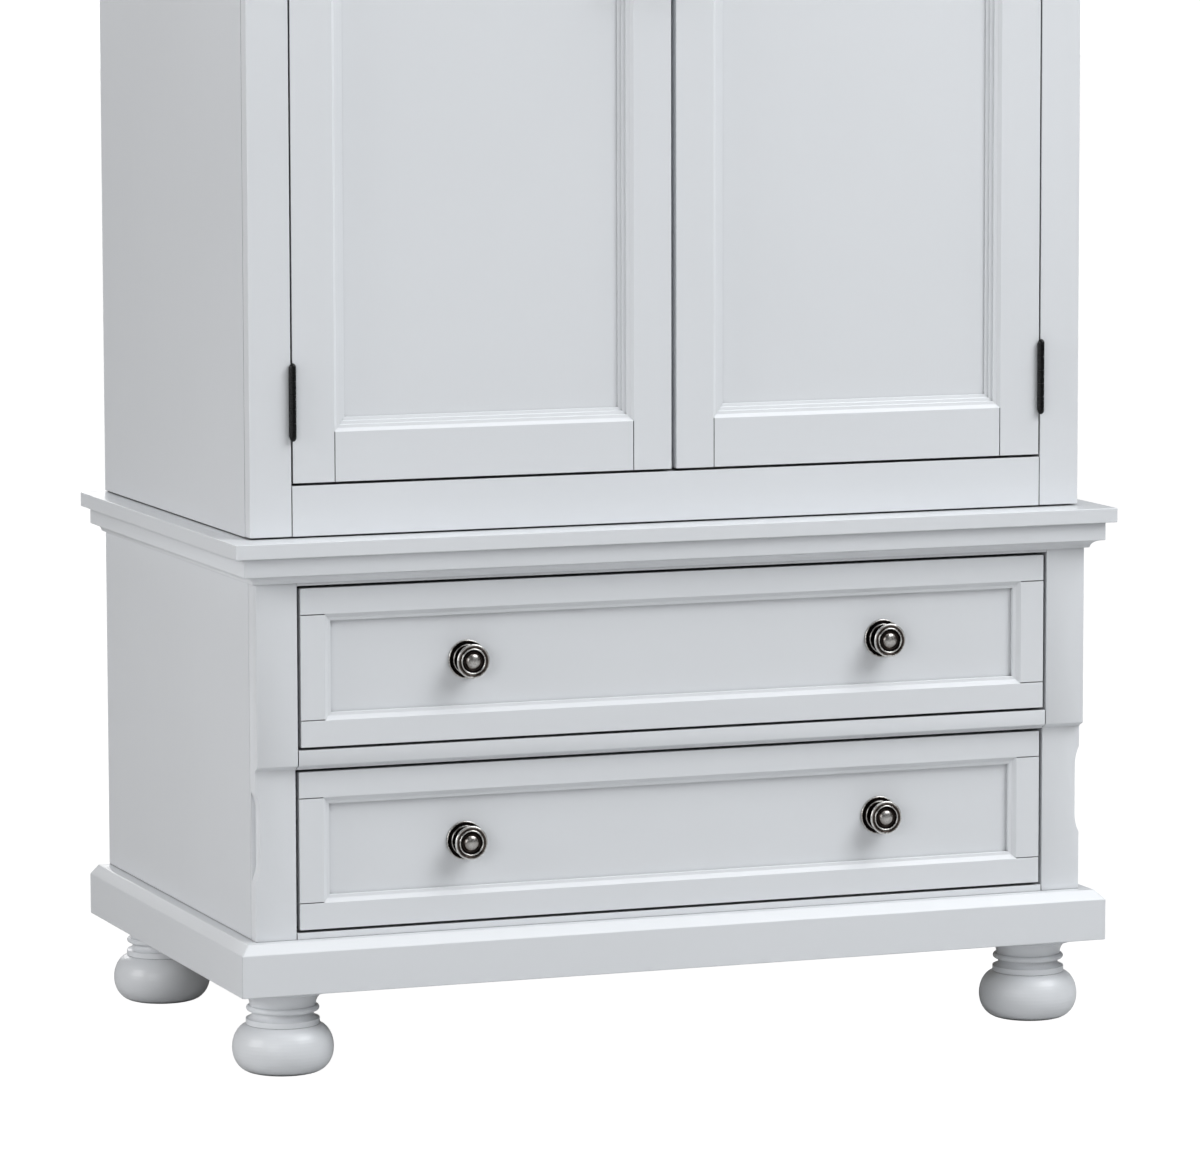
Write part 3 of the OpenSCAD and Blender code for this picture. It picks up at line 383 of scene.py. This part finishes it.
def bell(r0, r1, z0, z1, polish):
    """Quarter curve that leaves (r0, z0) level and reaches (r1, z1) upright."""
    made = []
    for index in range(ARC_POINTS):
        angle = math.pi / 2 * index / (ARC_POINTS - 1)
        made.append((r0 + (r1 - r0) * math.sin(angle), z1 + (z0 - z1) * math.cos(angle), polish))
    return made


# Half section of a knob in millimetres: (distance from the axis, height over the wood, polish)
ROSE_SECTION = (
    [(0.0, 0.0, 0.2), (20.4, 0.0, 0.2), (21.0, 0.5, 0.5)]
    + arc((20.2, 1.7), 0.8, 0, 130, 0.95)
    + [(19.2, 1.9, 0.1), (17.2, 1.6, 0.0), (16.4, 2.2, 0.05), (16.4, 3.9, 0.4)]
    + arc((15.6, 4.2), 0.8, 0, 120, 0.85)
    + [(14.6, 4.4, 0.15), (11.0, 4.3, 0.1)]
)
HEAD_SECTION = (
    bell(11.0, 6.6, 4.3, 8.0, 0.15)
    + [(6.4, 10.5, 0.2), (6.6, 13.5, 0.2), (7.6, 15.6, 0.25)]
    + bell(9.0, 18.0, 17.0, 20.6, 0.45)
    + arc((17.2, 21.8), 1.2, 0, 110, 1.0)
    + [(16.4, 22.7, 0.5), (15.8, 22.9, 0.42), (14.6, 22.5, 0.36), (14.1, 21.6, 0.02)]
    + arc((13.1, 22.7), 0.75, -5, 185, 1.0, BEAD_POINTS)
    + [(12.2, 21.5, 0.0), (10.6, 21.4, 0.03), (9.7, 21.9, 0.3), (9.1, 21.9, 0.3), (8.8, 21.3, 0.0)]
)
DOME_RADIUS = 8.4
DOME_BASE = 21.6
DOME_HEIGHT = 3.6
DOME_POINTS = 10
# Polish at the dome's rim, and how much more there is at its top
DOME_POLISH = 0.45
DOME_SHINE = 0.5
# In metres, from the wood to the front of the dome, and the height of the screw's head behind it. The
# head's radius is in millimetres, as the half sections are.
KNOB_HEIGHT = (DOME_BASE + DOME_HEIGHT) * MM
KNOB_SCREW_HEAD = 2.0 * MM
KNOB_SCREW_RADIUS = 4.0


def dome_section():
    made = []
    for index in range(DOME_POINTS):
        angle = math.pi / 2 * index / (DOME_POINTS - 1)
        made.append((DOME_RADIUS * math.cos(angle), DOME_BASE + DOME_HEIGHT * math.sin(angle),
                     DOME_POLISH + DOME_SHINE * math.sin(angle)))
    return made


def piece_from(made, name, material):
    """Makes the bmesh a piece of the scene, with one material."""
    mesh = bpy.data.meshes.new(name)
    made.to_mesh(mesh)
    made.free()
    piece = bpy.data.objects.new(name, mesh)
    bpy.context.scene.collection.objects.link(piece)
    mesh.materials.append(material)
    return piece


def turn(name, sections, places, axis_out, material):
    """Turns the half sections into solids of revolution, one set at each place.

    places are (x, y, z) in metres, and axis_out is the direction that the height runs in."""
    tilt = Vector((0, 0, 1)).rotation_difference(Vector(axis_out)).to_matrix().to_4x4()
    made = bmesh.new()
    polish = made.verts.layers.float.new("polish")
    for place in places:
        frame_at = Matrix.Translation(place) @ tilt
        for section in sections:
            rings = []
            for r, z, shine in section:
                ring = []
                for step in range(TURN_STEPS if r > 0 else 1):
                    angle = math.tau * step / TURN_STEPS
                    at = Vector((r * math.cos(angle), r * math.sin(angle), z)) * MM
                    vertex = made.verts.new(frame_at @ at)
                    vertex[polish] = shine
                    ring.append(vertex)
                rings.append(ring)
            for low_ring, high_ring in zip(rings, rings[1:]):
                for step in range(TURN_STEPS):
                    after = (step + 1) % TURN_STEPS
                    corners = [low_ring[step % len(low_ring)], low_ring[after % len(low_ring)],
                               high_ring[after % len(high_ring)], high_ring[step % len(high_ring)]]
                    face = made.faces.new(list(dict.fromkeys(corners)))
                    face.smooth = True
    bmesh.ops.recalc_face_normals(made, faces=made.faces)
    return piece_from(made, name, material)


# ---- Fittings --------------------------------------------------------------------------------

OUT_FRONT = (0, -1, 0)
OUT_BACK = (0, 1, 0)
# Shares of a pan head's radius: height of the rim, rise and flat top of the crown, width and floor of the
# recess. The angles are the crown's points.
PAN_RIM = 0.25
PAN_RISE = 0.35
PAN_FLAT = 0.35
PAN_RECESS = 0.28
PAN_FLOOR = 0.3
PAN_ANGLES = (15, 35, 55, 75, 90)


def middle_of(node):
    low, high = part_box(node)
    return (Vector(low) + Vector(high)) / 2


def screw_section(radius):
    """Half section of a pan-headed screw's head."""
    rim = [(0.0, 0.0, 0.3), (radius, 0.0, 0.3), (radius, PAN_RIM * radius, 0.3)]
    crown = [(radius * (PAN_FLAT + (1 - PAN_FLAT) * math.cos(math.radians(angle))),
              radius * (PAN_RIM + PAN_RISE * math.sin(math.radians(angle))), 0.4)
             for angle in PAN_ANGLES]
    recess = [(PAN_RECESS * radius, (PAN_RIM + PAN_RISE) * radius, 0.4),
              (PAN_RECESS * radius, PAN_FLOOR * radius, 0.0), (0.0, PAN_FLOOR * radius, 0.0)]
    return rim + crown + recess


def make_knobs():
    """Turned knobs in the places of the CAD ones, with a screw head behind each."""
    for node, body, count in (("door_left_knob", "door_left", 1), ("door_right_knob", "door_right", 1),
                              ("drawer_upper_knobs", "drawer_upper", 2),
                              ("drawer_lower_knobs", "drawer_lower", 2)):
        low, high = (Vector(corner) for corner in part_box(node))
        face_y = low.y + KNOB_HEIGHT
        half = (high.z - low.z) / 2
        xs = [low.x + half, high.x - half] if count == 2 else [(low.x + high.x) / 2]
        z = (low.z + high.z) / 2
        knob = turn(node + "_turned", [ROSE_SECTION, HEAD_SECTION + dome_section()],
                    [(x, face_y, z) for x in xs], OUT_FRONT, PEWTER)
        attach(knob, body)
        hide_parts(node)
        screw = turn(node + "_screw_heads", [screw_section(KNOB_SCREW_RADIUS)],
                     [(x, high.y - KNOB_SCREW_HEAD, z) for x in xs], OUT_BACK, ZINC)
        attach(screw, body)


# Countersunk screw heads, a little proud of what they hold: distance from the axis, height, polish
FLAT_HEAD = [(0.0, 0.0, 0.3), (3.2, 0.0, 0.3), (3.1, 0.25, 0.4),
             (1.4, 0.3, 0.4), (1.0, 0.05, 0.0), (0.0, 0.05, 0.0)]
HINGE_LENGTH = 74 * MM
LEAF_MIDDLE = 8.5 * MM
LEAF_SCREWS = (-27 * MM, 0.0, 27 * MM)
BRAD_HEAD = [(0.0, 0.0, 0.3), (1.6, 0.0, 0.3), (1.5, 0.2, 0.4), (0.0, 0.25, 0.4)]
BRAD_PITCH = 0.115
BRAD_INSET = 0.009


def hinge_heights():
    low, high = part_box("frame_hinge_leaves")
    return (low[2] + HINGE_LENGTH / 2, (low[2] + high[2]) / 2, high[2] - HINGE_LENGTH / 2)


def add_screws(name, body, sections, places, axis_out, material):
    heads = turn(name, sections, places, axis_out, material)
    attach(heads, body)


def make_hinge_screws():
    """Three screws in each hinge leaf."""
    front_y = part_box("case_bottom_rail")[0][1]
    frame_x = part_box("case_bottom_rail")[1][0]
    door_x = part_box("door_right_stiles")[1][0]
    for side, word in SIDES:
        heights = [z + step for z in hinge_heights() for step in LEAF_SCREWS]
        add_screws("frame_hinge_screws_" + word, "cabinet", [FLAT_HEAD],
                   [(side * frame_x, front_y + LEAF_MIDDLE, z) for z in heights], (-side, 0, 0),
                   BLACK)
        add_screws("door_hinge_screws_" + word, "door_" + word, [FLAT_HEAD],
                   [(side * door_x, front_y + LEAF_MIDDLE, z) for z in heights], (side, 0, 0),
                   BLACK)


def spaced(start, end):
    """Evenly spaced values from start to end, about a brad's pitch apart."""
    count = max(1, round((end - start) / BRAD_PITCH))
    return [start + (end - start) * index / count for index in range(count + 1)]


def make_back_brads():
    """Brads that hold the plywood backs: round the edges, and into the boards behind them."""
    for node, boards in (("case_back", ("case_bottom", "wardrobe_shelf", "case_top")),
                         ("chest_back", ("chest_bottom",))):
        low, high = (Vector(corner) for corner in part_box(node))
        xs = spaced(low.x + BRAD_INSET, high.x - BRAD_INSET)
        places = [(x, high.y, middle_of(board).z) for board in boards for x in xs]
        for x in (xs[0], xs[-1]):
            places += [(x, high.y, z) for z in spaced(low.z + BRAD_INSET, high.z - BRAD_INSET)]
        add_screws(node + "_brads", "cabinet", [BRAD_HEAD], places, OUT_BACK, ZINC)


def rounded_box(made, low, high, radius):
    """Adds a box with rounded edges to the bmesh."""
    centre = (low + high) / 2
    size = high - low
    shape = Matrix.Translation(centre) @ Matrix.Diagonal((*size, 1.0))
    corners = bmesh.ops.create_cube(made, size=1.0, matrix=shape)["verts"]
    edges = list({edge for corner in corners for edge in corner.link_edges})
    bmesh.ops.bevel(made, geom=edges, offset=radius, segments=EASED_STEPS, affect="EDGES", profile=0.5)


def finish_piece(made, name, material, body):
    piece = piece_from(made, name, material)
    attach(piece, body)
    return piece


CATCH_W = 46 * MM
CATCH_ROUNDING = 1.6 * MM
# Pole plates: how far they stand proud of the housing, their heights over its foot, and their sizes
POLE_PROUD = 0.6 * MM
POLE_RISES = (4.2 * MM, 8.8 * MM)
POLE_INSET = 5 * MM
POLE_DEPTH = 3 * MM
POLE_T = 1.8 * MM
POLE_ROUNDING = 0.4 * MM
STRIKE_INSET = 4 * MM
STRIKE_T = 0.3 * MM
STRIKE_RISE = 2.5 * MM
STRIKE_ROUNDING = 0.12 * MM


def make_catches():
    """Magnetic catches with two pole plates each, and a thin steel strike on each door."""
    low, high = (Vector(corner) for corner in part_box("door_catches"))
    door_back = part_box("door_right_stiles")[1][1]
    housings = bmesh.new()
    plates = bmesh.new()
    for side, word in SIDES:
        near, far = sorted((side * (high.x - CATCH_W), side * high.x))
        rounded_box(housings, Vector((near, low.y + POLE_PROUD, low.z)), Vector((far, high.y, high.z)),
                    CATCH_ROUNDING)
        for rise in POLE_RISES:
            rounded_box(plates, Vector((near + POLE_INSET, low.y, low.z + rise)),
                        Vector((far - POLE_INSET, low.y + POLE_DEPTH, low.z + rise + POLE_T)),
                        POLE_ROUNDING)
        strike = bmesh.new()
        rounded_box(strike, Vector((near + STRIKE_INSET, door_back, low.z + STRIKE_RISE)),
                    Vector((far - STRIKE_INSET, door_back + STRIKE_T, high.z - STRIKE_RISE / 2)),
                    STRIKE_ROUNDING)
        finish_piece(strike, "strike_" + word, ZINC, "door_" + word)
    body = finish_piece(housings, "catch_housings", PLASTIC, "cabinet")
    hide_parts("door_catches")
    finish_piece(plates, "catch_pole_plates", ZINC, "cabinet")


# ---- Stage and light -------------------------------------------------------------------------

def flat_panel(name, size, at, facing, watts, colour):
    """A soft area light that faces a point."""
    data = bpy.data.lights.new(name, "AREA")
    data.shape = "RECTANGLE"
    data.size, data.size_y = size
    data.energy = watts
    data.color = colour
    light = bpy.data.objects.new(name, data)
    bpy.context.scene.collection.objects.link(light)
    light.location = at
    light.rotation_euler = (Vector(facing) - Vector(at)).to_track_quat("-Z", "Y").to_euler()
    return light


FLOOR_REACH = 30.0
# How much of the floor's light, as the camera sees it, is its own: this is what makes it a white sweep
FLOOR_GLOW = 0.8
BACKDROP_STRENGTH = 1.25


def make_floor():
    """A plain pale floor, far wider than the armoire, that fades into the white backdrop."""
    mesh = bpy.data.meshes.new("floor")
    corners = [(x * FLOOR_REACH, y * FLOOR_REACH, 0) for x, y in ((-1, -1), (1, -1), (1, 1), (-1, 1))]
    mesh.from_pydata(corners, [], [(0, 1, 2, 3)])
    floor = bpy.data.objects.new("floor", mesh)
    bpy.context.scene.collection.objects.link(floor)
    shader = Shader("floor", Roughness=0.8, Specular_IOR_Level=0.2)
    tone = shader.noise(shader.place(), 1.5, 2.0)
    shader.drive(Base_Color=shader.ramp(tone, [(0.2, grey(0.50)), (0.8, grey(0.52))]))
    glow = shader.node("ShaderNodeEmission", Strength=BACKDROP_STRENGTH)
    rays = shader.node("ShaderNodeLightPath")
    share = shader.node("ShaderNodeMath", operation="MULTIPLY")
    share.inputs[1].default_value = FLOOR_GLOW
    shader.link(rays.outputs["Is Camera Ray"], share.inputs[0])
    either = shader.node("ShaderNodeMixShader")
    shader.link(share.outputs["Value"], either.inputs["Fac"])
    shader.link(shader.principled.outputs["BSDF"], either.inputs[1])
    shader.link(glow.outputs["Emission"], either.inputs[2])
    shader.link(either.outputs["Shader"], shader.tree.nodes["Material Output"].inputs["Surface"])
    mesh.materials.append(shader.material)


def make_world(strength):
    """A dim grey room, which the camera itself sees as white."""
    world = bpy.data.worlds.new("studio")
    world.use_nodes = True
    tree = world.node_tree
    room = tree.nodes["Background"]
    room.inputs["Color"].default_value = (1.0, 1.0, 1.0, 1.0)
    room.inputs["Strength"].default_value = strength
    backdrop = tree.nodes.new("ShaderNodeBackground")
    backdrop.inputs["Color"].default_value = (1.0, 1.0, 1.0, 1.0)
    backdrop.inputs["Strength"].default_value = BACKDROP_STRENGTH
    rays = tree.nodes.new("ShaderNodeLightPath")
    either = tree.nodes.new("ShaderNodeMixShader")
    tree.links.new(rays.outputs["Is Camera Ray"], either.inputs["Fac"])
    tree.links.new(room.outputs["Background"], either.inputs[1])
    tree.links.new(backdrop.outputs["Background"], either.inputs[2])
    tree.links.new(either.outputs["Shader"], tree.nodes["World Output"].inputs["Surface"])
    bpy.context.scene.world = world


ROOM_STRENGTH = 0.15
NEUTRAL = (1.0, 1.0, 1.0)
COOL = (0.965, 0.985, 1.0)
# Soft panels: name, size, place, what it faces, watts, colour. The two keys are above, to the front right.
PANELS = [
    ("key", (2.8, 2.8), (2.5, -3.2, 4.0), (0.0, 0.0, 0.7), 134, COOL),
    ("key_side", (2.8, 2.8), (3.06, -1.77, 4.4), (0.0, 0.0, 0.7), 76, COOL),
    ("overhead", (3.0, 3.0), (0.0, -0.8, 4.5), (0.0, -0.8, 0.0), 45, COOL),
    ("left", (2.4, 2.4), (-4.5, -0.5, 1.8), (0.0, 0.0, 0.8), 78, NEUTRAL),
    ("left_front", (2.4, 2.4), (-3.6, -4.0, 1.6), (0.0, 0.0, 0.6), 45, COOL),
    ("back", (3.0, 2.0), (0.4, 5.5, 2.0), (0.0, 0.0, 0.9), 55, NEUTRAL),
]


def light_the_scene():
    view = bpy.context.scene.view_settings
    view.view_transform = "Standard"
    view.look = "None"
    make_world(ROOM_STRENGTH)
    for name, size, at, facing, watts, colour in PANELS:
        flat_panel(name, size, at, facing, watts, colour)


make_camera()
dress_cad_nodes()
make_knobs()
make_hinge_screws()
make_back_brads()
make_catches()
make_floor()
light_the_scene()
